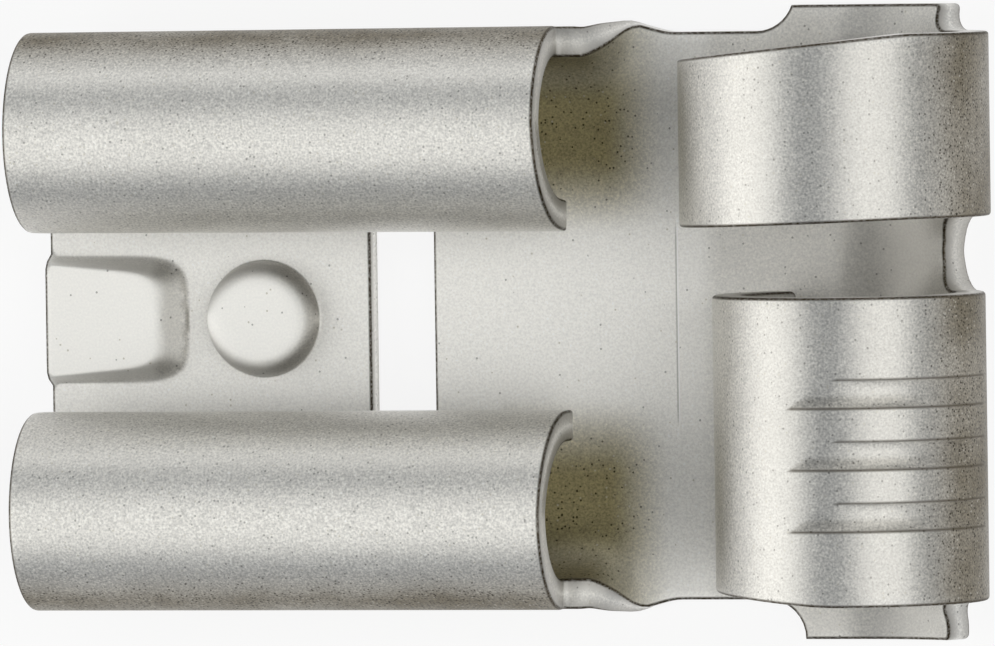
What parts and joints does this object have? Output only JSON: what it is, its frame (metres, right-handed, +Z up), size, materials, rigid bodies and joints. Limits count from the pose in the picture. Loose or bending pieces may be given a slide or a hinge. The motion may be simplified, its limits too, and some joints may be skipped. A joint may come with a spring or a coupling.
{
  "type": "flag receptacle terminal",
  "caption": "Right-angle push-on receptacle: two rolled wings grip a flat tab, and two rolled barrels across the rear hold the wire.",
  "frame": {"origin": "middle of the tab slot at its mouth, halfway through the tab's thickness", "axes": "+X from the mouth to the wire barrels, +Y along the wire towards the insulation barrel, +Z up from the flat base to the rolls"},
  "size_m": [0.0128, 0.0082, 0.004],
  "materials": {
    "tinned_brass": "matt tin plating over stamped brass sheet"
  },
  "bodies": {
    "root": {"terminal": "tinned_brass"}
  },
  "joints": []
}
